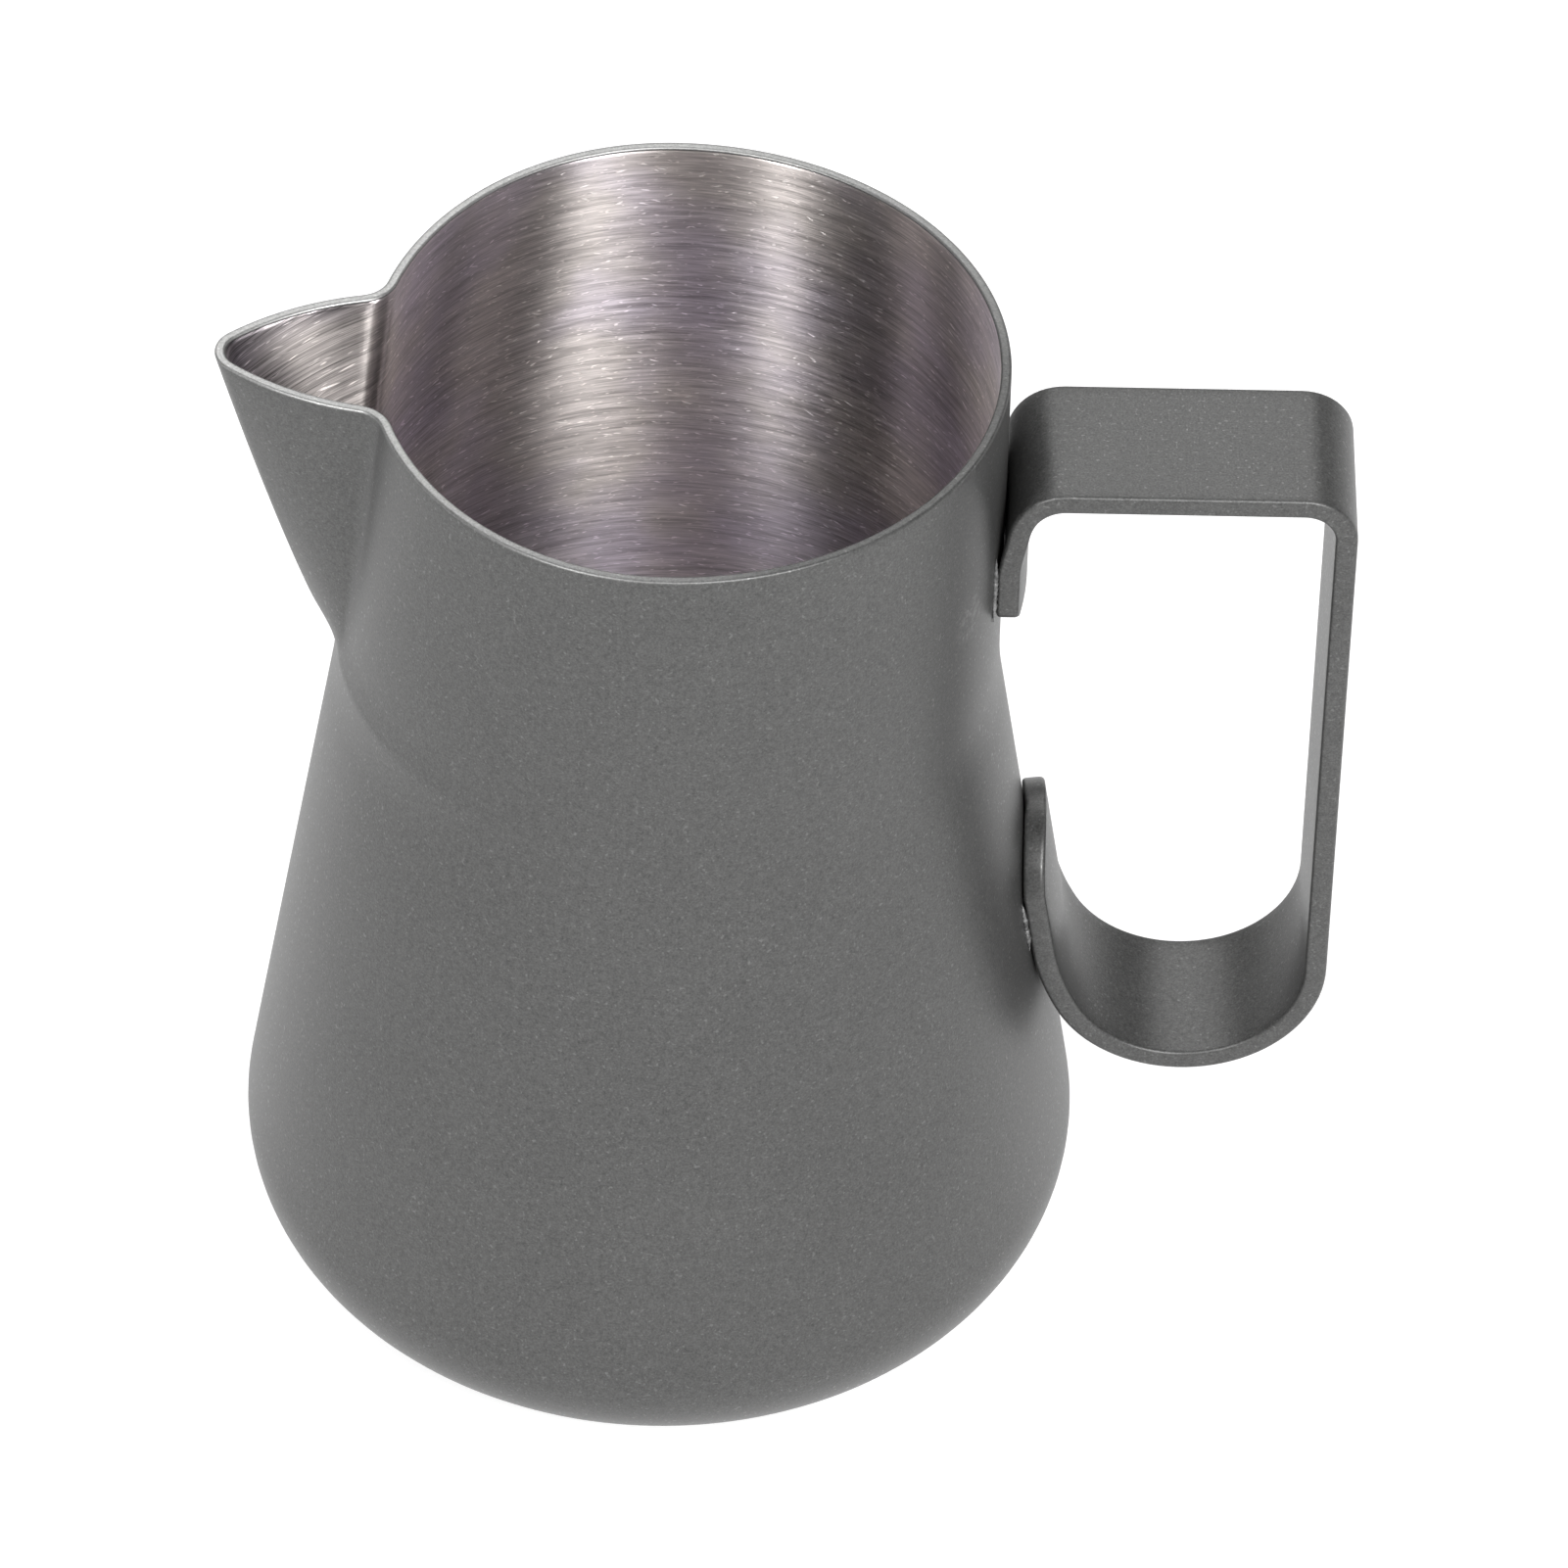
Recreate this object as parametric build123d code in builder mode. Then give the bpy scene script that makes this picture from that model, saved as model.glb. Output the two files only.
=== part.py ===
from build123d import *
from math import acos, atan2, cos, degrees, hypot, isclose, sin, sqrt, tan
import os

# Milk frothing pitcher: a drawn steel shell with a pressed spout and a coated outside, and a bent
# flat-strip handle welded to it by two tabs. Millimetres, +Z up, origin on the vessel's axis at
# the plane that it stands on. The spout points along -X and the handle along +X.

# Vessel, measured on the coated outside
height = 124.6              # standing plane to the top of the lip
belly_radius = 46.0         # widest place, just above the base corner
base_corner_radius = 14.4   # round corner between the base and the side
neck_radius = 35.8          # straight neck, on the handle's side
neck_length = 38.6          # the neck and the spout reach this far down from the lip
neck_blend_radius = 52.0    # soft change from the cone to the neck

# Sheet and coating
wall = 1.0                  # steel sheet
coat = 0.12                 # coating on the outside and over the lip

# Mouth, seen from above at the height of the lip
bowl_draw = 4.0             # the pressing draws the bowl's spout side in by this much
spout_overhang = 12.6       # neck to the tip of the spout
spout_half_width = 9.8      # half the spout's greatest width
spout_side_radius = 32.0    # each side of the spout is bowed outwards
spout_nose_radius = 2.6     # tip of the spout
throat_radius = 3.4         # where the spout's sides flow into the bowl

# Foot of the spout, as angles on the neck's bottom circle from the keel, in degrees
keel_angle = 2.0            # the nose ends here
crease_angle = 9.0          # the sides of the spout end here
flow_angle = 20.0           # the flow into the bowl ends here

# Handle strip
strip_width = 18.0
strip_thickness = 2.4
finger_gap = 34.8           # neck to the inner face of the grip
handle_drop = 10.8          # lip to the top face of the handle
tab_bend_radius = 6.0       # outside of the bend above the upper tab
grip_bend_radius = 5.8      # outside of the bend at the top of the grip
loop_drop = 0.6             # bottom of the lower tab to the centre of the loop
loop_turn = 163.0           # from the grip round to the leg under the lower tab, in degrees

# Tabs, curved to the vessel
tab_lead = 0.9              # straight and flat below the bend above the upper tab
tab_gap = 0.2               # clearance that the weld spots bridge
leg_gap = 0.4               # clearance of the loop's leg beside the lower tab
upper_tab_drop = 29.3       # lip to the tab's lower end
upper_tab_length = 6.4
upper_tab_corner_radius = 2.0
lower_tab_drop = 64.4       # lip to the top of the tab's round end
lower_tab_length = 15.7
lower_tab_end_extra = 0.6   # the end's radius over half the width, so it meets the sides at corners

# Weld spots, two in each tab
weld_spot_radius = 2.0
weld_spot_spacing = 8.0
upper_weld_rise = 3.9       # lower end of the tab to its spots
lower_weld_rise = 7.0

# Heights, and how far the parts of the mouth and the handle reach from the axis
neck_bottom = height - neck_length
bowl_reach = neck_radius - bowl_draw
spout_reach = neck_radius + spout_overhang
handle_reach = neck_radius + finger_gap + strip_thickness
handle_top = height - handle_drop
upper_tab_bottom = height - upper_tab_drop
lower_tab_top = height - lower_tab_drop
lower_tab_bottom = lower_tab_top - lower_tab_length
lower_tab_end_radius = strip_width / 2 + lower_tab_end_extra

# The cone's line touches the arc of the base corner and the arc of the neck's blend
corner_centre = (belly_radius - base_corner_radius, base_corner_radius)
blend_centre = (neck_radius + neck_blend_radius, neck_bottom)
across = blend_centre[0] - corner_centre[0]
up = blend_centre[1] - corner_centre[1]
cone_lean = atan2(up, across) - acos((base_corner_radius + neck_blend_radius) / hypot(across, up))

# The spout's sides are arcs about two centres, spout_side_offset to each side of the X axis
spout_side_offset = spout_side_radius - spout_half_width
spout_side_reach = (
    spout_reach
    - spout_nose_radius
    - sqrt((spout_side_radius - spout_nose_radius) ** 2 - spout_side_offset**2)
)
everything = 4 * height     # larger than the whole pitcher


def cone_point(z, outwards=0.0):
    """Point (radius, z) on the cone's line, then moved outwards square to it."""
    touch_radius = corner_centre[0] + base_corner_radius * cos(cone_lean)
    touch_height = corner_centre[1] + base_corner_radius * sin(cone_lean)
    radius = touch_radius - (z - touch_height) * tan(cone_lean)
    return (radius + outwards * cos(cone_lean), z + outwards * sin(cone_lean))


def body_form(inset, floor):
    """Solid up to the neck, with its side moved inwards by inset and its base at floor."""
    lean = degrees(cone_lean)
    foot = corner_centre[0]
    with BuildPart() as form:
        with BuildSketch(Plane.XZ):
            with BuildLine():
                Line((0, floor), (foot, floor))
                if floor < inset:
                    Line((foot, floor), (foot, inset))
                corner = CenterArc(corner_centre, base_corner_radius - inset, -90, 90 + lean)
                blend = CenterArc(blend_centre, neck_blend_radius + inset, 180, lean)
                Line(corner @ 1, blend @ 1)
                Polyline(blend @ 0, (0, neck_bottom), (0, floor))
            make_face()
        revolve(axis=Axis.Z)
    return form.part


def neck_foot(inset):
    """Spout's half of the neck's bottom circle, in as many arcs as the mouth's outline has."""
    radius = neck_radius - inset
    centre = (0, 0, neck_bottom)
    stops = [90, 180 - flow_angle, 180 - crease_angle, 180 - keel_angle]
    stops += [360 - stop for stop in reversed(stops)]
    # A builder would join these arcs into one, so they are made outside any block
    arcs = [CenterArc(centre, radius, start, stop - start) for start, stop in zip(stops, stops[1:])]
    closing = Line(arcs[-1] @ 1, arcs[0] @ 0)
    return Face(Wire([*arcs, closing]))


def mouth(inset):
    """Spout's half of the mouth at the lip: half an ellipse, and the spout between its arcs."""
    lip_plane = Plane.XY.offset(height)
    side_radius = spout_side_radius - inset
    with BuildSketch(lip_plane) as spout:
        with Locations((-spout_side_reach, spout_side_offset)):
            Circle(side_radius)
        with Locations((-spout_side_reach, -spout_side_offset)):
            Circle(side_radius, mode=Mode.INTERSECT)
        fillet(spout.vertices().sort_by(Axis.X)[0], spout_nose_radius - inset)
    with BuildSketch(lip_plane) as outline:
        Ellipse(bowl_reach - inset, neck_radius - inset)
        add(spout.sketch)
        Rectangle(everything, everything, align=(Align.MAX, Align.CENTER), mode=Mode.INTERSECT)
        throats = outline.vertices().group_by(Axis.X)[1]
        fillet(throats, throat_radius + inset)
    return outline.sketch.face()


def vessel_form(inset, floor):
    """Solid inside the whole vessel's surface moved inwards by inset, up to the lip."""
    body = body_form(inset, floor)
    foot = neck_foot(inset)
    lip = mouth(inset)
    with BuildPart() as form:
        add(body)
        with BuildSketch(Plane.XY.offset(neck_bottom)):
            Circle(neck_radius - inset)
            Rectangle(everything, everything, align=(Align.MIN, Align.CENTER), mode=Mode.INTERSECT)
        extrude(amount=height - neck_bottom)
        loft([foot, lip], ruled=True)
    return form.part


def neck_ring(inner_gap, outer_gap):
    """Ring round the neck, between two distances from its surface."""
    with BuildPart() as ring:
        with BuildSketch(Plane.XY.offset(neck_bottom)):
            Circle(neck_radius + outer_gap)
            Circle(neck_radius + inner_gap, mode=Mode.SUBTRACT)
        extrude(amount=height - neck_bottom)
    return ring.part


def cone_ring(inner_gap, outer_gap):
    """Ring round the cone behind the lower tab, between two distances from its surface."""
    bottom = lower_tab_bottom - strip_thickness
    top = lower_tab_top + strip_thickness
    with BuildPart() as ring:
        with BuildSketch(Plane.XZ):
            with BuildLine():
                Polyline(
                    cone_point(bottom, inner_gap),
                    cone_point(bottom, outer_gap),
                    cone_point(top, outer_gap),
                    cone_point(top, inner_gap),
                    close=True,
                )
            make_face()
        revolve(axis=Axis.Z)
    return ring.part


def weld_spots(ring, spot_height):
    """Two round spots cut from a ring, side by side under a tab."""
    with BuildPart() as spots:
        add(ring)
        with BuildSketch(Plane.YZ):
            with Locations((0, spot_height)):
                with GridLocations(weld_spot_spacing, 0, 2, 1):
                    Circle(weld_spot_radius)
        extrude(amount=handle_reach, mode=Mode.INTERSECT)
    return spots.part


# Weld spots, from the bare steel to the tabs
with BuildPart() as upper_weld_spots:
    add(weld_spots(neck_ring(-coat, tab_gap), upper_tab_bottom + upper_weld_rise))
upper_weld_spots.part.label = "upper_weld_spots"

with BuildPart() as lower_weld_spots:
    add(weld_spots(cone_ring(-coat, tab_gap), lower_tab_bottom + lower_weld_rise))
lower_weld_spots.part.label = "lower_weld_spots"

# Steel shell, and the coating that covers its outside and its lip up to the welds
outer_form = vessel_form(0, 0)
steel_form = vessel_form(coat, 0)
cavity_form = vessel_form(coat + wall, coat + wall)

with BuildPart() as shell:
    add(steel_form)
    split(bisect_by=Plane.XY.offset(height - coat), keep=Keep.BOTTOM)
    add(cavity_form, mode=Mode.SUBTRACT)
shell.part.label = "shell"

with BuildPart() as outer_coating:
    add(outer_form)
    add(shell.part, mode=Mode.SUBTRACT)
    add(cavity_form, mode=Mode.SUBTRACT)
    add(upper_weld_spots.part, mode=Mode.SUBTRACT)
    add(lower_weld_spots.part, mode=Mode.SUBTRACT)
outer_coating.part.label = "outer_coating"

# Upper tab: a tongue cut from a ring round the neck
with BuildPart() as upper_tab:
    add(neck_ring(tab_gap, tab_gap + strip_thickness))
    with BuildSketch(Plane.YZ) as tongue:
        with Locations((0, upper_tab_bottom)):
            Rectangle(strip_width, upper_tab_length, align=(Align.CENTER, Align.MIN))
        fillet(tongue.vertices().group_by(Axis.Y)[0], upper_tab_corner_radius)
    extrude(amount=handle_reach, mode=Mode.INTERSECT)

# Lower tab: a tongue with a round end, cut from a ring round the cone
with BuildPart() as lower_tab:
    add(cone_ring(tab_gap, tab_gap + strip_thickness))
    with BuildSketch(Plane.YZ):
        with BuildLine():
            end_centre = (0, lower_tab_top - lower_tab_end_radius)
            from_level = degrees(acos(strip_width / 2 / lower_tab_end_radius))
            round_end = CenterArc(end_centre, lower_tab_end_radius, from_level, 180 - 2 * from_level)
            bottom = (-strip_width / 2, lower_tab_bottom), (strip_width / 2, lower_tab_bottom)
            Polyline(round_end @ 1, *bottom, round_end @ 0)
        make_face()
    extrude(amount=handle_reach, mode=Mode.INTERSECT)

# Grip: the flat run of the strip, from the bend above the upper tab round to the loop's end
tab_face = neck_radius + tab_gap
leg_face = cone_point(lower_tab_bottom)[0] + leg_gap
loop_radius = (handle_reach - leg_face) / 2
loop_centre = (handle_reach - loop_radius, lower_tab_bottom - loop_drop)
tab_bend_start = handle_top - tab_bend_radius

with BuildPart() as grip:
    with BuildSketch(Plane.XZ):
        with BuildLine():
            FilletPolyline(
                (tab_face, tab_bend_start - tab_lead),
                (tab_face, handle_top),
                (handle_reach, handle_top),
                (handle_reach, loop_centre[1]),
                radius=(tab_bend_radius, grip_bend_radius),
            )
            CenterArc(loop_centre, loop_radius, 0, -loop_turn)
            offset(amount=strip_thickness, side=Side.RIGHT)
        make_face()
    extrude(amount=strip_width / 2, both=True)

# Handle: the strip turns from flat to curved between the grip and each tab
with BuildPart() as handle:
    add(grip.part)
    add(upper_tab.part)
    add(lower_tab.part)
    end_area = strip_width * strip_thickness
    loop_end, bend_end = grip.faces().filter_by(lambda face: isclose(face.area, end_area)).sort_by(Axis.Z)
    loft([bend_end, upper_tab.faces().sort_by(Axis.Z)[-1]], ruled=True)
    loft([loop_end, lower_tab.faces().sort_by(Axis.Z)[0]], ruled=True)
handle.part.label = "handle"

os.makedirs("parts", exist_ok=True)
export_step(shell.part, "parts/shell.step")
export_step(outer_coating.part, "parts/outer_coating.step")
export_step(handle.part, "parts/handle.step")
export_step(upper_weld_spots.part, "parts/upper_weld_spots.step")
export_step(lower_weld_spots.part, "parts/lower_weld_spots.step")
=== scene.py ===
import math

import bpy
import numpy as np
from mathutils import Matrix, Quaternion, Vector


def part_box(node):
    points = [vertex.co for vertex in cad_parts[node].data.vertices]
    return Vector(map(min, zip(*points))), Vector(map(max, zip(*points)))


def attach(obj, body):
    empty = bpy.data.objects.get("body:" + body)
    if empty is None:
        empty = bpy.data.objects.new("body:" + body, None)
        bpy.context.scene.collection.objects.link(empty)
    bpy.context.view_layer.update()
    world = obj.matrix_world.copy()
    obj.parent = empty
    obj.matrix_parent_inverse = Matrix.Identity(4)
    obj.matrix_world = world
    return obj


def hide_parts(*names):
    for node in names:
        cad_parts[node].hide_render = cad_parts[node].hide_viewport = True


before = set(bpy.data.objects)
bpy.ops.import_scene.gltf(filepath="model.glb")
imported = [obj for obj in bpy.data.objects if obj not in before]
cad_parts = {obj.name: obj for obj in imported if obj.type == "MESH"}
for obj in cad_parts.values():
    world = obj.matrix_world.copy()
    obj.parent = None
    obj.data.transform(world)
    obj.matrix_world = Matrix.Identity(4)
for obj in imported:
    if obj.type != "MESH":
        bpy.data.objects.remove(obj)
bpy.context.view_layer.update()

MM = 0.001

# ---------------------------------------------------------------- sizes, in millimetres
coat_low, coat_high = (Vector(corner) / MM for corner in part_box("outer_coating"))
strip_low, strip_high = (Vector(corner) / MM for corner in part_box("handle"))

HEIGHT = coat_high.z
BELLY_RADIUS = coat_high.y
SPOUT_REACH = -coat_low.x

NECK_RADIUS = 35.8
NECK_BOTTOM = HEIGHT - 38.6
CORNER_RADIUS = 14.4
BLEND_RADIUS = 52.0
WALL = 1.0
COAT = 0.12
COAT_BACK = 0.11            # the coating's hidden face, in from its outside
STEEL_FRONT = 0.13          # the steel's hidden face, in from the coating's outside
LIP_OUTER_ROUND = 0.34
LIP_INNER_ROUND = 0.30
FLOOR_DOME = 0.25           # rise of the inside floor's centre
LIP_BAND = 0.30             # the top of the lip, where the painted highlight lies
LIP_FADE = 0.22
LIP_HIGHLIGHT_FROM = 28.0            # where the painted highlight starts, from the axis towards the handle's near side
LIP_HIGHLIGHT_LENGTH = 64.0

BOWL_DRAW = 3.6             # how far pressing the spout draws the bowl in
MOUTH_HALF_WIDTH = 34.85    # the same pressing narrows the mouth a little
SPOUT_SIDE_RADIUS = 32.0
SPOUT_SIDE_OFFSET = 22.2
NOSE_RADIUS = 3.6
THROAT_RADIUS = 3.4
SPOUT_FOOT = HEIGHT - 40.0  # the spout grows out of the neck from here up
SPOUT_GROWTH = 0.82         # under 1, so the keel bows outwards
SPOUT_START = 0.07          # share of the spout's height that eases out of the neck
FOOT_GATHER = 0.44          # how far the feet of the spout's side lines run together
FOOT_SPREAD = math.radians(35)

FOOT_RING_LIFT = 0.02
FOOT_RING_OUTSIDE = 0.6     # the ring's two edges, in from the start of the base's corner
FOOT_RING_INSIDE = 2.2
DISH_SLOPE = 1.8            # breadth of the slope inside the foot ring
DISH_DEPTH = 0.55

STRIP_WIDTH = strip_high.y - strip_low.y
STRIP_THICKNESS = 2.4
EDGE_ROUND = 0.5            # the strip's broken edges
HANDLE_REACH = strip_high.x
HANDLE_TOP = strip_high.z
TAB_GAP = 0.2
TAB_BEND = 6.0
GRIP_BEND = 5.8
UPPER_TAB_END = HEIGHT - 29.3
UPPER_TAB_LENGTH = 6.4
UPPER_TAB_CORNER = 2.0
LOWER_TAB_TOP = HEIGHT - 64.4
LOWER_TAB_FOOT = HEIGHT - 80.1
TAB_END_RADIUS = STRIP_WIDTH / 2 + 0.6   # over half the width, so the end meets the sides at corners
LOOP_DROP = 0.6
LOOP_TURN = math.radians(163.0)
LEG_GAP = 0.4
FLATTENING_ABOVE = 2.0      # the upper tab's curve fades out this far past the bend's start
FLATTENING_BELOW = 7.0      # the lower tab's curve starts this far under its foot
FLATTENING_LENGTH = 9.0

BEAD_RADIUS = 0.30
BEAD_SIDE_GAP = 0.05
BEAD_WAVE = 0.10


def smooth(t):
    """Eases a number or an array from 0 to 1."""
    t = np.clip(t, 0.0, 1.0)
    return t * t * (3.0 - 2.0 * t)


# ---------------------------------------------------------------- shader tree
class Signal:
    """A socket that does arithmetic: an expression on signals adds its Math nodes."""

    def __init__(self, tree, socket):
        self.tree = tree
        self.socket = socket

    def math(self, operation, *others):
        return self.tree.node("ShaderNodeMath", {"operation": operation}, self, *others).out()

    def __add__(self, other):
        return self.math("ADD", other)

    def __sub__(self, other):
        return self.math("SUBTRACT", other)

    def __mul__(self, other):
        return self.math("MULTIPLY", other)

    def __truediv__(self, other):
        return self.math("DIVIDE", other)

    def __pow__(self, other):
        return self.math("POWER", other)

    def __rsub__(self, other):
        return self.tree.node("ShaderNodeMath", {"operation": "SUBTRACT"}, other, self).out()

    __radd__ = __add__
    __rmul__ = __mul__

    def clamp(self, low, high):
        return self.math("MAXIMUM", low).math("MINIMUM", high)


class Node:
    """A node of a tree, with its outputs as signals."""

    def __init__(self, tree, node):
        self.tree = tree
        self.node = node

    def out(self, name=0):
        return Signal(self.tree, self.node.outputs[name])


class Tree:
    """Builds the nodes of one material, or of the world."""

    def __init__(self, owner):
        self.owner = owner
        self.owner.use_nodes = True
        self.nodes = self.owner.node_tree.nodes
        self.links = self.owner.node_tree.links
        self.nodes.clear()

    def set_input(self, socket, value):
        if isinstance(value, Signal):
            self.links.new(value.socket, socket)
        else:
            socket.default_value = value

    def node(self, kind, settings=None, *values, **named):
        """Adds a node: its settings first, then its sockets in order, then those given by name.

        A None leaves its socket as it is.
        """
        node = self.nodes.new(kind)
        for key, value in (settings or {}).items():
            if key == "stops":
                self.fill_ramp(node.color_ramp, value)
            else:
                setattr(node, key, value)
        for position, value in enumerate(values):
            if value is not None:
                self.set_input(node.inputs[position], value)
        for key, value in named.items():
            self.set_input(node.inputs[key.replace("_", " ")], value)
        return Node(self, node)

    @staticmethod
    def fill_ramp(ramp, stops):
        while len(ramp.elements) < len(stops):
            ramp.elements.new(0.5)
        for element, (position, value) in zip(ramp.elements, stops):
            element.position = position
            element.color = (value, value, value, 1.0)

    def ramp(self, signal, *stops):
        """Greys that follow the stops (position, value)."""
        return self.node("ShaderNodeValToRGB", {"stops": stops}, signal).out()

    def noise(self, vector, scale, detail=2.0, roughness=0.5):
        return self.node("ShaderNodeTexNoise", {}, Vector=vector, Scale=scale, Detail=detail,
                         Roughness=roughness).out()

    def mix_colours(self, factor, first, second, blend="MIX"):
        """Mixes two colours. The node's sockets for numbers and vectors come before those for colours."""
        not_colours = [None] * 5
        settings = {"data_type": "RGBA", "blend_type": blend}
        return self.node("ShaderNodeMix", settings, factor, *not_colours, first, second).out(2)

    def vector(self, operation, *values):
        return self.node("ShaderNodeVectorMath", {"operation": operation}, *values).out()

    def join(self, x, y, z):
        return self.node("ShaderNodeCombineXYZ", {}, x, y, z).out()

    def finish(self, **sockets):
        """Ends the tree in one Principled shader."""
        shader = self.node("ShaderNodeBsdfPrincipled", {}, **sockets)
        self.node("ShaderNodeOutputMaterial", {}, shader.out())
        return self.owner


def new_finish(name):
    return Tree(bpy.data.materials.new(name))


def place(tree):
    """The point in the part's own metres. The frame's pieces all keep their origin at the part's."""
    return tree.node("ShaderNodeTexCoord").out("Object")


def grey(value):
    """A grey as a colour."""
    return (value, value, value, 1.0)


# ---------------------------------------------------------------- finishes
def matt_coating(name, marks=(), painted_lip_highlight=False):
    """Matt dark grey coating: fine grain, light flakes, and worn marks at the given spots.

    With the last argument a highlight is painted over the lip's top: lighter and more metallic towards the
    spout's far side, where the lamps reflect in it.
    """
    tree = new_finish(name)
    point = place(tree)
    grain = tree.noise(point, 4200.0, 2.0, 0.6)
    coarse = tree.noise(point, 1500.0, 2.0, 0.5)
    cloud = tree.noise(point, 45.0, 3.0, 0.5)
    flakes = tree.ramp(tree.noise(point, 2600.0, 0.0), (0.0, 0.0), (0.71, 0.0), (0.80, 1.0))
    tone = 0.080 + (grain - 0.5) * 0.110 + (coarse - 0.5) * 0.045 + (cloud - 0.5) * 0.016
    worn = 0.0
    for centre, spread in marks:
        from_mark = tree.vector("SUBTRACT", point, tuple(v * MM for v in centre))
        scaled = tree.vector("DIVIDE", from_mark, tuple(v * MM for v in spread))
        distance = tree.node("ShaderNodeVectorMath", {"operation": "LENGTH"}, scaled).out("Value")
        blotch = tree.ramp(tree.noise(point, 900.0, 3.0, 0.65), (0.0, 0.0), (0.47, 0.0), (0.66, 1.0))
        worn = tree.ramp(distance, (0.0, 1.0), (0.45, 0.75), (1.0, 0.0)) * blotch + worn
    if marks:
        tone = tone + worn * 0.11
    tone = tone + flakes * 0.04
    metal = 0.55
    if painted_lip_highlight:
        parts = tree.node("ShaderNodeSeparateXYZ", {}, point)
        on_lip = ((parts.out("Z") - (HEIGHT - LIP_BAND) * MM) / (LIP_FADE * MM)).clamp(0.0, 1.0)
        # Painted highlight over the lip: none on the handle's near side, strongest beyond the spout, where
        # the lamps reflect
        back_left = parts.out("Y") * 0.6 - parts.out("X") * 0.8
        thin = on_lip * (((back_left + LIP_HIGHLIGHT_FROM * MM) / (LIP_HIGHLIGHT_LENGTH * MM)).clamp(0.0, 1.0) ** 0.6)
        tone = tone + thin * (0.27 + (grain - 0.5) * 0.20)
        metal = 0.55 + thin * 0.35
    tone = tone.clamp(0.02, 0.8)
    colour = tree.mix_colours(tone, grey(0.0), (1.0, 1.0, 0.985, 1.0))
    relief = grain * 0.5 + coarse * 0.5
    bump = tree.node("ShaderNodeBump", {}, Strength=0.28, Distance=0.00006, Height=relief)
    roughness = (0.41 + (coarse - 0.5) * 0.10 - flakes * 0.10).clamp(0.2, 0.8)
    return tree.finish(Base_Color=colour, Metallic=metal, Roughness=roughness,
                       Normal=bump.out("Normal"))


def brushed_steel():
    """Bare steel, brushed round the vessel's axis, with a slight heat tint."""
    tree = new_finish("Brushed bare steel")
    point = place(tree)
    parts = tree.node("ShaderNodeSeparateXYZ", {}, point)
    x, y, z = (parts.out(axis) for axis in "XYZ")
    radius = (x * x + y * y) ** 0.5
    turn = y.math("ARCTAN2", x)
    # A vessel's side is brushed in rings, so the noise is long round the axis and fine along it
    along = z + radius * 0.35
    fine = tree.noise(tree.join(turn * 9.0, along * 5200.0, radius * 40.0), 1.0, 3.0, 0.6)
    medium = tree.noise(tree.join(turn * 4.0, along * 1500.0, radius * 25.0), 1.0, 3.0, 0.6)
    broad = tree.noise(tree.join(turn * 2.2, along * 150.0, radius * 20.0), 1.0, 2.0, 0.5)
    # Single scratches, each a short arc, slightly off the rings' direction
    tilt = along * 2600.0 + turn * 14.0
    scratch_a = tree.ramp(tree.noise(tree.join(turn * 26.0, tilt, 3.0), 1.0, 1.0, 0.5),
                          (0.0, 0.0), (0.66, 0.0), (0.76, 1.0))
    cross = along * 2300.0 - turn * 22.0
    scratch_b = tree.ramp(tree.noise(tree.join(turn * 20.0, cross, 9.0), 1.0, 1.0, 0.5),
                          (0.0, 0.0), (0.68, 0.0), (0.78, 1.0))
    scratches = (scratch_a + scratch_b).clamp(0.0, 1.0)
    patches = tree.noise(point, 38.0, 3.0, 0.55)
    tint = tree.mix_colours(tree.ramp(patches, (0.0, 0.0), (0.40, 0.0), (0.60, 1.0)),
                            (0.66, 0.600, 0.67, 1.0), (0.70, 0.645, 0.620, 1.0))
    # Painted shade: the steel inside the spout is darkened, to dim the lamps' reflection there
    spout_painted_shade = ((x * -1.0 - 30.0 * MM) / (5.0 * MM)).clamp(0.0, 1.0)
    shade = (0.90 + (fine - 0.5) * 1.10 + (medium - 0.5) * 0.70 + (broad - 0.5) * 0.30
             + scratches * 0.75 - spout_painted_shade * 0.52).clamp(0.1, 1.5)
    colour = tree.mix_colours(1.0, tint, tree.mix_colours(shade * 0.5, grey(0.0), grey(2.0)), "MULTIPLY")
    height = fine * 0.5 + medium * 0.8 + scratches * 0.5
    bump = tree.node("ShaderNodeBump", {}, Strength=0.42, Distance=0.00010, Height=height)
    roughness = (0.40 + (medium - 0.5) * 0.12 + (patches - 0.5) * 0.05).clamp(0.2, 0.7)
    return tree.finish(Base_Color=colour, Metallic=1.0, Roughness=roughness, Anisotropic=0.97,
                       Anisotropic_Rotation=0.25, Normal=bump.out("Normal"))


def weld_bead():
    """Fused steel under the coating."""
    tree = new_finish("Coated weld")
    point = place(tree)
    lumps = tree.noise(point, 1100.0, 3.0, 0.6)
    tone = (0.18 + (lumps - 0.5) * 0.60).clamp(0.02, 0.6)
    colour = tree.mix_colours(tone, grey(0.0), grey(1.0))
    bump = tree.node("ShaderNodeBump", {}, Strength=0.5, Distance=0.0002, Height=lumps)
    return tree.finish(Base_Color=colour, Metallic=0.6, Roughness=0.42, Normal=bump.out("Normal"))


# ---------------------------------------------------------------- the vessel's form
corner_centre = np.array([BELLY_RADIUS - CORNER_RADIUS, CORNER_RADIUS])
blend_centre = np.array([NECK_RADIUS + BLEND_RADIUS, NECK_BOTTOM])
across, up = blend_centre - corner_centre
LEAN = math.atan2(up, across) - math.acos((CORNER_RADIUS + BLEND_RADIUS) / math.hypot(across, up))
FOOT_RADIUS = corner_centre[0]


def arc(centre, radius, first, last, steps):
    """Points on an arc and the directions out of its centre, as angles in radians."""
    turn = np.linspace(first, last, steps)
    around = np.stack([np.cos(turn), np.sin(turn)], axis=1)
    return np.asarray(centre) + radius * around, around


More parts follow.
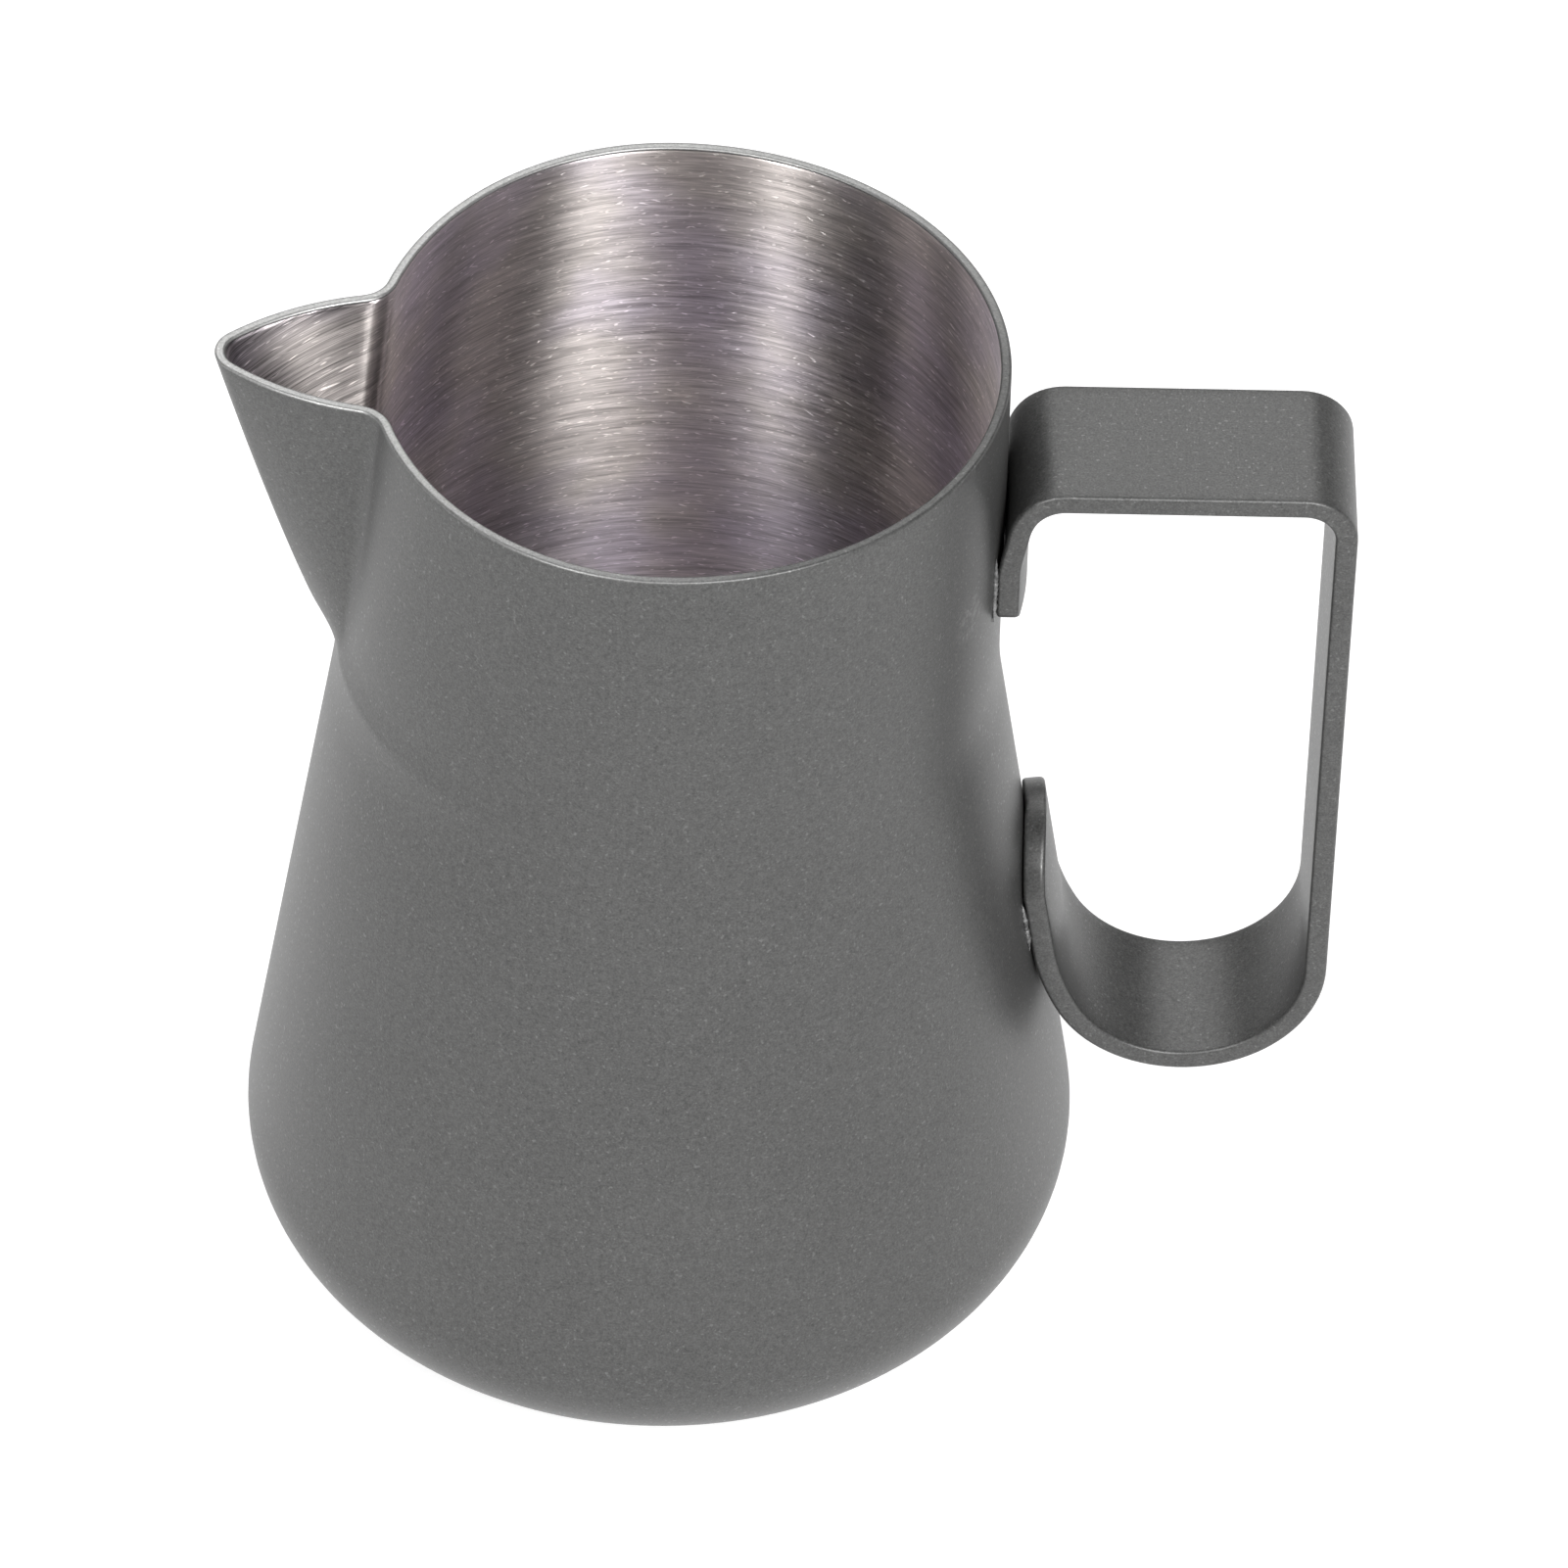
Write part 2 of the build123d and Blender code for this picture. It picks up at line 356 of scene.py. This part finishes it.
def side_profile():
    """Radius, height and outward normal up the vessel's side, from the foot to the neck's bottom."""
    corner, corner_normal = arc(corner_centre, CORNER_RADIUS, -math.pi / 2, LEAN, 22)
    blend, from_centre = arc(blend_centre, BLEND_RADIUS, math.pi + LEAN, math.pi, 9)
    steps = np.linspace(0.0, 1.0, 20)[1:-1, None]
    cone = corner[-1] + (blend[0] - corner[-1]) * steps
    cone_normal = np.repeat(corner_normal[-1:], len(cone), axis=0)
    points = np.concatenate([corner, cone, blend])
    normals = np.concatenate([corner_normal, cone_normal, -from_centre])
    return points, normals


def mouth_outline():
    """Plan of the mouth's half with y >= 0, from the spout's nose to the handle's side."""
    side_reach = (SPOUT_REACH - NOSE_RADIUS
                  - math.sqrt((SPOUT_SIDE_RADIUS - NOSE_RADIUS) ** 2 - SPOUT_SIDE_OFFSET ** 2))
    side_centre = np.array([-side_reach, -SPOUT_SIDE_OFFSET])
    nose_centre = np.array([NOSE_RADIUS - SPOUT_REACH, 0.0])
    draw_reach = NECK_RADIUS - BOWL_DRAW

    def bowl(turn):
        return np.array([draw_reach * math.cos(turn), MOUTH_HALF_WIDTH * math.sin(turn)])

    def throat_centre(turn):
        normal = np.array([math.cos(turn) / draw_reach, math.sin(turn) / MOUTH_HALF_WIDTH])
        return bowl(turn) + THROAT_RADIUS * normal / np.linalg.norm(normal)

    # The throat's round touches the bowl and the side of the spout
    low, high = math.radians(95), math.radians(178)
    for _ in range(60):
        middle = (low + high) / 2
        if np.linalg.norm(throat_centre(middle) - side_centre) > SPOUT_SIDE_RADIUS + THROAT_RADIUS:
            low = middle
        else:
            high = middle
    touch = (low + high) / 2
    throat = throat_centre(touch)

    def angle(vector):
        return math.atan2(vector[1], vector[0])

    nose_end = angle(nose_centre - side_centre)
    side_end = angle(throat - side_centre)
    throat_start = angle(side_centre - throat) % (2 * math.pi)
    throat_end = angle(bowl(touch) - throat) % (2 * math.pi)
    nose, _ = arc(nose_centre, NOSE_RADIUS, math.pi, nose_end, 9)
    side, _ = arc(side_centre, SPOUT_SIDE_RADIUS, nose_end, side_end, 26)
    hollow, _ = arc(throat, THROAT_RADIUS, throat_start, throat_end, 10)
    drawn = np.array([bowl(turn) for turn in np.linspace(touch, math.pi / 2, 46)])
    back_turns = np.linspace(math.pi / 2, 0.0, 56)
    back = np.stack([NECK_RADIUS * np.cos(back_turns), MOUTH_HALF_WIDTH * np.sin(back_turns)], axis=1)
    return np.concatenate([nose, side[1:], hollow[1:], drawn[1:], back[1:]])


def full_loop(half):
    """Both halves of a plan that is its own mirror image, as one loop."""
    mirrored = half[1:-1][::-1] * np.array([1.0, -1.0])
    return np.concatenate([half, mirrored])


mouth = full_loop(mouth_outline())
from_keel = np.arctan2(mouth[:, 1], -mouth[:, 0])
# The spout's side lines run together on their way down, so their feet lie nearer the keel
foot_turn = from_keel * (1.0 - FOOT_GATHER * np.exp(-((from_keel / FOOT_SPREAD) ** 2)))
foot_way = np.stack([-np.cos(foot_turn), np.sin(foot_turn)], axis=1)


def plan(z):
    """The outer skin's plan at a height in the neck."""
    t = max(0.0, (z - SPOUT_FOOT) / (HEIGHT - SPOUT_FOOT))
    grown = t ** SPOUT_GROWTH * (1.0 - math.exp(-((t / SPOUT_START) ** 2)))
    return foot_way * NECK_RADIUS * (1.0 - grown) + mouth * grown


def outward(loop):
    """Unit normals of a closed plan."""
    along = np.roll(loop, -1, axis=0) - np.roll(loop, 1, axis=0)
    normal = np.stack([-along[:, 1], along[:, 0]], axis=1)
    normal /= np.linalg.norm(normal, axis=1)[:, None]
    return normal if np.sum(normal * loop) > 0 else -normal


def ring_low(radius, z):
    """A level ring of the body."""
    return np.column_stack([foot_way * radius, np.full(len(foot_way), z)])


def ring_high(z, inset):
    """A level ring of the neck and the spout, moved inwards by inset."""
    loop = plan(z)
    loop = loop - outward(loop) * inset
    return np.column_stack([loop, np.full(len(loop), z)])


def skin(inset, top):
    """Rings of the vessel's side at an inset, from the foot up to a height."""
    points, normals = side_profile()
    rings = []
    for (radius, z), (out, rise) in zip(points, normals):
        rings.append(ring_low(radius - out * inset, z - rise * inset))
    for z in np.linspace(SPOUT_FOOT, top, 46)[1:]:
        if z > NECK_BOTTOM:
            rings.append(ring_high(z, inset))
    return rings


def rounded_edge(first_inset, last_inset, radius_first, radius_last, steps=6):
    """(inset, height) stations over the lip, from one side of it to the other."""
    turns = np.linspace(0.0, math.pi / 2, steps)
    start = [(first_inset + radius_first * (1 - math.cos(a)), HEIGHT - radius_first * (1 - math.sin(a)))
             for a in turns]
    end = [(last_inset - radius_last * (1 - math.cos(a)), HEIGHT - radius_last * (1 - math.sin(a)))
           for a in turns[::-1]]
    return start + end


def build_mesh(name, rings, closed_rows=False, caps=(False, False), turned_over=False):
    """Joins rings of equal length into a skin.

    Caps close the first and the last ring with a point. turned_over faces the skin the other way.
    """
    columns = len(rings[0])
    vertices = [tuple(point * MM) for ring in rings for point in ring]
    faces = []
    rows = len(rings)
    for row in range(rows if closed_rows else rows - 1):
        low, high = row * columns, ((row + 1) % rows) * columns
        for column in range(columns):
            following = (column + 1) % columns
            faces.append((low + column, low + following, high + following, high + column))
    for is_capped, ring, flip in ((caps[0], 0, True), (caps[1], rows - 1, False)):
        if is_capped:
            centre = len(vertices)
            vertices.append(tuple(np.mean(rings[ring], axis=0) * MM))
            first = ring * columns
            for column in range(columns):
                following = (column + 1) % columns
                corner = (first + column, first + following, centre)
                faces.append(corner[::-1] if flip else corner)
    mesh = bpy.data.meshes.new(name)
    mesh.from_pydata(vertices, [], faces)
    mesh.validate()
    if turned_over:
        mesh.flip_normals()
    mesh.polygons.foreach_set("use_smooth", [True] * len(mesh.polygons))
    mesh.update()
    piece = bpy.data.objects.new(name, mesh)
    bpy.context.scene.collection.objects.link(piece)
    return piece


def coating_piece():
    """The coating: up the outside, over the lip and down to its inner edge, then back behind itself."""
    lip_inner = WALL + COAT
    over_lip = rounded_edge(0.0, lip_inner, LIP_OUTER_ROUND, LIP_INNER_ROUND)
    shoulder = over_lip[0][1]
    rings = skin(0.0, shoulder)
    rings += [ring_high(z, inset) for inset, z in over_lip[1:]]
    behind = [(max(inset, COAT_BACK) if inset < lip_inner / 2 else min(inset, lip_inner - COAT_BACK),
               z - COAT_BACK) for inset, z in over_lip[::-1]]
    rings += [ring_high(z, inset) for inset, z in behind[:-1]]
    rings += skin(COAT_BACK, behind[-1][1])[::-1]
    return build_mesh("Outer_coating", rings, closed_rows=True)


def underside():
    """(radius, height) stations under the base, from the middle out: a dished centre and a foot ring."""
    slope_end = FOOT_RADIUS - FOOT_RING_INSIDE - DISH_SLOPE
    dish = [(radius, DISH_DEPTH) for radius in np.linspace(1.0, slope_end - 1.0, 14)]
    slope = [(FOOT_RADIUS - FOOT_RING_INSIDE - DISH_SLOPE * t, DISH_DEPTH * float(smooth(t)))
             for t in (1.0, 0.8, 0.6, 0.4, 0.2)]
    ring = [(FOOT_RADIUS - FOOT_RING_INSIDE, 0.0), (FOOT_RADIUS - FOOT_RING_OUTSIDE, 0.0),
            (FOOT_RADIUS, FOOT_RING_LIFT)]
    return dish + slope + ring


def steel_piece():
    """The bare steel: its front is hidden by the coating, its inside and its underside show."""
    inner = WALL + COAT
    lip_top = HEIGHT - COAT - 0.02
    rings = [ring_low(radius, z) for radius, z in underside()]
    rings += skin(STEEL_FRONT, lip_top - 0.2)
    rings += [ring_high(z, inset) for inset, z in
              ((STEEL_FRONT + 0.1, lip_top - 0.05), (STEEL_FRONT + 0.2, lip_top),
               (inner - 0.32, lip_top), (inner - 0.22, lip_top - 0.05), (inner - 0.13, lip_top - 0.2),
               (inner - 0.08, lip_top - 0.3), (inner, lip_top - 0.42))]
    rings += skin(inner, lip_top - 0.6)[::-1]
    # The inside floor rises slightly to its middle
    for radius in np.linspace(FOOT_RADIUS, 0.0, 30)[1:-1]:
        rings.append(ring_low(radius, inner + FLOOR_DOME * smooth(1 - radius / FOOT_RADIUS)))
    return build_mesh("Steel_vessel", rings, caps=(True, True))


# ---------------------------------------------------------------- the handle's form
def cone_radius(z):
    """The cone's radius at a height."""
    touch = corner_centre + CORNER_RADIUS * np.array([math.cos(LEAN), math.sin(LEAN)])
    return touch[0] - (z - touch[1]) * math.tan(LEAN)


def handle_path():
    """Middle line of the strip in the plane y = 0, from the upper tab's lower end to the lower tab's top.

    Each row: x, z, direction x, direction z, how far it hugs the vessel, and the radius that it hugs.
    """
    half = STRIP_THICKNESS / 2
    face = NECK_RADIUS + TAB_GAP
    middle = face + half
    rows = []

    def add(point, way, hug, radius):
        rows.append((point[0], point[1], way[0], way[1], hug, radius))

    bend_centre = np.array([face + TAB_BEND, HANDLE_TOP - TAB_BEND])
    hug_radius = NECK_RADIUS + TAB_GAP
    tab_top = UPPER_TAB_END + UPPER_TAB_LENGTH
    flattening = bend_centre[1] + FLATTENING_ABOVE - tab_top
    for z in np.linspace(UPPER_TAB_END, bend_centre[1], 34):
        hug = 1.0 - smooth((z - tab_top) / flattening)
        add((middle, z), (0.0, 1.0), hug, hug_radius)
    for turn in np.linspace(math.pi, math.pi / 2, 14)[1:]:
        out = np.array([math.cos(turn), math.sin(turn)])
        hug = 1.0 - smooth((bend_centre[1] - tab_top + 4.0 * (math.pi - turn)) / flattening)
        add(bend_centre + (TAB_BEND - half) * out, (out[1], -out[0]), hug, hug_radius)
    grip_centre = np.array([HANDLE_REACH - GRIP_BEND, HANDLE_TOP - GRIP_BEND])
    for x in np.linspace(bend_centre[0], grip_centre[0], 12)[1:-1]:
        add((x, HANDLE_TOP - half), (1.0, 0.0), 0.0, hug_radius)
    for turn in np.linspace(math.pi / 2, 0.0, 14):
        out = np.array([math.cos(turn), math.sin(turn)])
        add(grip_centre + (GRIP_BEND - half) * out, (out[1], -out[0]), 0.0, hug_radius)
    leg_face = cone_radius(LOWER_TAB_FOOT) + LEG_GAP
    loop_radius = (HANDLE_REACH - leg_face) / 2
    loop_centre = np.array([HANDLE_REACH - loop_radius, LOWER_TAB_FOOT - LOOP_DROP])
    for z in np.linspace(grip_centre[1], loop_centre[1], 24)[1:-1]:
        add((HANDLE_REACH - half, z), (0.0, -1.0), 0.0, hug_radius)

    lean_way = np.array([-math.sin(LEAN), math.cos(LEAN)])
    outwards = np.array([math.cos(LEAN), math.sin(LEAN)])
    tab_start = np.array([cone_radius(LOWER_TAB_FOOT), LOWER_TAB_FOOT]) + (TAB_GAP + half) * outwards
    loop_rows = []
    for turn in np.linspace(0.0, -LOOP_TURN, 44):
        out = np.array([math.cos(turn), math.sin(turn)])
        loop_rows.append((loop_centre + (loop_radius - half) * out, np.array([out[1], -out[0]])))
    length_up = (LOWER_TAB_TOP - LOWER_TAB_FOOT) / math.cos(LEAN)
    tab_rows = [(tab_start + lean_way * s, lean_way) for s in np.linspace(2.0, length_up, 34)]
    # A short smooth curve joins the loop's end to the tab
    start, start_way = loop_rows[-1]
    end, end_way = tab_rows[0]
    reach = np.linalg.norm(end - start)
    joined = []
    for t in np.linspace(0.0, 1.0, 9)[1:-1]:
        a, b = 2 * t ** 3 - 3 * t ** 2 + 1, t ** 3 - 2 * t ** 2 + t
        c, d = -2 * t ** 3 + 3 * t ** 2, t ** 3 - t ** 2
        point = a * start + b * reach * start_way + c * end + d * reach * end_way
        way = start_way * (1 - t) + end_way * t
        joined.append((point, way / np.linalg.norm(way)))
    tail = loop_rows + joined + tab_rows
    for index, (point, way) in enumerate(tail):
        rising = index > len(loop_rows) // 2
        hug = smooth((point[1] - LOWER_TAB_FOOT + FLATTENING_BELOW) / FLATTENING_LENGTH) if rising else 0.0
        radius = (cone_radius(point[1]) + TAB_GAP) / math.cos(LEAN)
        add(point, way, float(hug), radius)
    return rows


def strip_section(wide, thin, edge):
    """(across, outwards) points round the strip's section, given half its width and thickness."""
    flat = np.linspace(-1.0, 1.0, 15)
    section = [(v * (wide - edge), thin) for v in flat]
    corners = ((1, 1, math.pi / 2, slice(1, 6)), (1, -1, 0.0, slice(0, 6)),
               (-1, -1, -math.pi / 2, slice(1, 6)), (-1, 1, -math.pi, slice(0, 5)))
    for side, face, start, kept in corners:
        if (side, face) == (-1, -1):
            section += [(v * (wide - edge), -thin) for v in flat[::-1][1:]]
        for a in np.linspace(start, start - math.pi / 2, 6)[kept]:
            section.append((side * (wide - edge) + edge * math.cos(a),
                            face * (thin - edge) + edge * math.sin(a)))
    return section


def handle_piece():
    """The strip: one bent length with rounded edges, curved to the vessel at both tabs."""
    table = np.array(handle_path())
    travelled = np.concatenate([[0.0], np.cumsum(np.linalg.norm(np.diff(table[:, :2], axis=0), axis=1))])
    total = travelled[-1]
    half_width, half = STRIP_WIDTH / 2, STRIP_THICKNESS / 2

    def width_at(s):
        """Half the strip's width, less in the rounded corners of its ends."""
        if s < UPPER_TAB_CORNER:
            missing = UPPER_TAB_CORNER - math.sqrt(UPPER_TAB_CORNER ** 2 - (UPPER_TAB_CORNER - s) ** 2)
            return half_width - missing
        below_centre = max(0.0, TAB_END_RADIUS - (total - s))
        return min(half_width, math.sqrt(max(0.0, TAB_END_RADIUS ** 2 - below_centre ** 2)))

    # Extra rows near both ends, where the outline turns quickly
    wanted = set(travelled)
    for a in np.linspace(0.0, math.pi / 2, 12)[1:-1]:
        wanted.add(UPPER_TAB_CORNER * (1 - math.cos(a)))
        wanted.add(total - TAB_END_RADIUS * (1 - math.cos(a)))
    corner = TAB_END_RADIUS - math.sqrt(TAB_END_RADIUS ** 2 - half_width ** 2)
    for from_end in (corner - 0.02, corner + 0.02, 0.02, 0.08, 0.25, 0.6):
        wanted.add(total - from_end)
    stations = np.array(sorted(wanted))
    stations = stations[np.concatenate([[True], np.diff(stations) > 1e-4])]
    values = [np.interp(stations, travelled, table[:, column]) for column in range(6)]
    rings = []
    for index, s in enumerate(stations):
        x, z, way_x, way_z, hug, radius = (column[index] for column in values)
        way = np.array([way_x, way_z])
        way /= np.linalg.norm(way)
        # The strip's outer face is on the left of the way round
        side = np.array([-way[1], way[0]])
        # Both ends have the same rounded edge as the sides
        short = max(0.0, EDGE_ROUND - min(s, total - s))
        thin = half - EDGE_ROUND + math.sqrt(max(0.0, EDGE_ROUND ** 2 - short ** 2))
        wide = max(0.25, width_at(s))
        ring = []
        for v, u in strip_section(wide, thin, min(EDGE_ROUND, wide * 0.9, thin * 0.9)):
            # The strip's sides drop towards the vessel's axis where it hugs the vessel
            drop = hug * (radius - math.sqrt(max(0.0, radius ** 2 - v * v)))
            ring.append((x + side[0] * u - drop, v, z + side[1] * u))
        rings.append(np.array(ring))
    return build_mesh("Handle_strip", rings, caps=(True, True), turned_over=True)


# ---------------------------------------------------------------- weld beads
def bead_rings(line, radii, steps=8):
    """Rings of a lumpy bead along a line."""
    rings = []
    for index, point in enumerate(line):
        before, after = line[max(0, index - 1)], line[min(len(line) - 1, index + 1)]
        along = (after - before) / np.linalg.norm(after - before)
        first = np.cross(along, (1.0, 0.0, 0.0))
        first /= np.linalg.norm(first)
        second = np.cross(along, first)
        turns = np.linspace(0.0, 2 * math.pi, steps, endpoint=False)
        rings.append(np.array([point + radii[index] * (math.cos(a) * first + math.sin(a) * second)
                               for a in turns]))
    return rings


def bead_pieces():
    """Four short beads in the grooves where the tabs' sides meet the vessel."""
    chance = np.random.RandomState(7)
    made = []
    spans = (("upper", UPPER_TAB_END + 0.4, UPPER_TAB_END + 9.6),
             ("lower", LOWER_TAB_FOOT + 2.0, LOWER_TAB_FOOT + 9.0))
    for place_name, low, high in spans:
        for side_name, side in (("front", -1.0), ("back", 1.0)):
            heights = np.linspace(low, high, 40)
            line, radii = [], []
            for index, z in enumerate(heights):
                surface = NECK_RADIUS if place_name == "upper" else cone_radius(z)
                y = side * (STRIP_WIDTH / 2 + BEAD_SIDE_GAP + BEAD_WAVE * math.sin(index * 1.7))
                x = math.sqrt(surface ** 2 - y * y) + 0.10
                line.append(np.array([x, y, z]))
                taper = min(1.0, 4 * min(index + 1, len(heights) - index) / len(heights))
                radii.append(BEAD_RADIUS * taper * (0.75 + 0.5 * chance.rand()))
            made.append(build_mesh(f"Weld_bead_{place_name}_{side_name}", bead_rings(line, radii),
                                   caps=(True, True)))
    return made


# ---------------------------------------------------------------- build the pieces
coating = coating_piece()
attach(coating, "root")
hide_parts("outer_coating")

steel = steel_piece()
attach(steel, "root")
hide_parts("shell")

handle = handle_piece()
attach(handle, "root")
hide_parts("handle")

beads = bead_pieces()
for bead in beads:
    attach(bead, "root")

# The brushing follows rings about the axis, so the mesh's own texture box is centred on the axis
steel.data.use_auto_texspace = False
steel.data.texspace_location = (0.0, 0.0, HEIGHT * MM / 2)
steel.data.texspace_size = (SPOUT_REACH * MM, SPOUT_REACH * MM, HEIGHT * MM / 2)

body_coat = matt_coating("Matt grey coating", marks=(((31.8, -15.8, 102.8), (3.5, 3.5, 4.0)),),
                         painted_lip_highlight=True)
strip_coat = matt_coating("Matt grey handle coating")
coating.data.materials.append(body_coat)
handle.data.materials.append(strip_coat)
steel.data.materials.append(brushed_steel())
bead_finish = weld_bead()
for bead in beads:
    bead.data.materials.append(bead_finish)
for node_name in ("upper_weld_spots", "lower_weld_spots"):
    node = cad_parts[node_name]
    node.data.materials.clear()
    node.data.materials.append(bead_finish)


# ---------------------------------------------------------------- studio
def area_light(name, place_at, look_at, size, power, roll=0.0):
    """A soft rectangular light, its top leaning left by roll degrees as seen from behind it."""
    lamp = bpy.data.lights.new(name, "AREA")
    lamp.shape = "RECTANGLE"
    lamp.size, lamp.size_y = size
    lamp.energy = power
    lamp_object = bpy.data.objects.new(name, lamp)
    lamp_object.location = place_at
    lamp_object.rotation_mode = "QUATERNION"
    way = Vector(look_at) - Vector(place_at)
    turned = Quaternion((0.0, 0.0, 1.0), math.radians(roll))
    lamp_object.rotation_quaternion = way.to_track_quat("-Z", "Y") @ turned
    bpy.context.scene.collection.objects.link(lamp_object)
    return lamp_object


def studio_floor():
    """A plain white floor, as bright as the paper behind a product."""
    mesh = bpy.data.meshes.new("Studio_floor")
    far = 6.0
    mesh.from_pydata([(-far, -far, 0.0), (far, -far, 0.0), (far, far, 0.0), (-far, far, 0.0)], [],
                     [(0, 1, 2, 3)])
    floor = bpy.data.objects.new("Studio_floor", mesh)
    bpy.context.scene.collection.objects.link(floor)
    tree = new_finish("Studio white")
    mesh.materials.append(tree.finish(Base_Color=(0.35, 0.35, 0.35, 1.0), Roughness=0.9,
                                      Emission_Color=(1.0, 1.0, 1.0, 1.0), Emission_Strength=0.82))


studio_floor()


def studio_world():
    """White low down, all round like a paper sweep, and dim overhead."""
    world = bpy.data.worlds.new("Studio")
    bpy.context.scene.world = world
    tree = Tree(world)
    way = tree.node("ShaderNodeTexCoord").out("Generated")
    rise = tree.node("ShaderNodeSeparateXYZ", {}, way).out("Z")
    strength = tree.ramp(rise * 0.5 + 0.5, (0.0, 1.0), (0.53, 1.0), (0.66, 0.16), (1.0, 0.10))
    light = tree.node("ShaderNodeBackground", {}, Color=(1.0, 1.0, 1.0, 1.0), Strength=strength)
    tree.node("ShaderNodeOutputWorld", {}, light.out())


studio_world()
# Two tall soft boxes beside the camera, and broad dim ones overhead and behind
area_light("Box_left", (-0.62, -0.82, 1.05), (0.0, 0.0, 0.08), (0.10, 0.9), 12.0, roll=5.0)
area_light("Box_right", (0.50, -0.90, 1.05), (0.0, 0.0, 0.08), (0.26, 0.9), 19.0, roll=24.0)
area_light("Overhead", (0.05, 0.0, 1.3), (0.0, 0.0, 0.06), (1.8, 0.9), 3.2)
area_light("Back_high", (-0.10, 0.85, 0.95), (0.0, 0.0, 0.08), (1.3, 0.35), 5.4)
bpy.context.scene.view_settings.view_transform = "Standard"


# ---------------------------------------------------------------- camera
def point_camera():
    """Camera above the front, looking down at 44 degrees, turned slightly about its own axis."""
    camera = bpy.data.cameras.new("Camera")
    camera.sensor_width = 36.0
    camera.lens = 269.83        # a long lens, in millimetres
    camera.clip_start, camera.clip_end = 0.05, 20.0
    camera_object = bpy.data.objects.new("Camera", camera)
    bpy.context.scene.collection.objects.link(camera_object)
    spot = Vector((0.0, -0.9226, 0.9539))
    forward = (Vector((0.01302, 0.00112, 0.06134)) - spot).normalized()
    level = forward.cross(Vector((0.0, 0.0, 1.0))).normalized()
    rise = level.cross(forward)
    tilt = math.radians(-1.623)
    right = level * math.cos(tilt) - rise * math.sin(tilt)
    top = right.cross(forward)
    turned = Matrix((right, top, -forward)).transposed().to_4x4()
    camera_object.matrix_world = Matrix.Translation(spot) @ turned
    bpy.context.scene.camera = camera_object


point_camera()
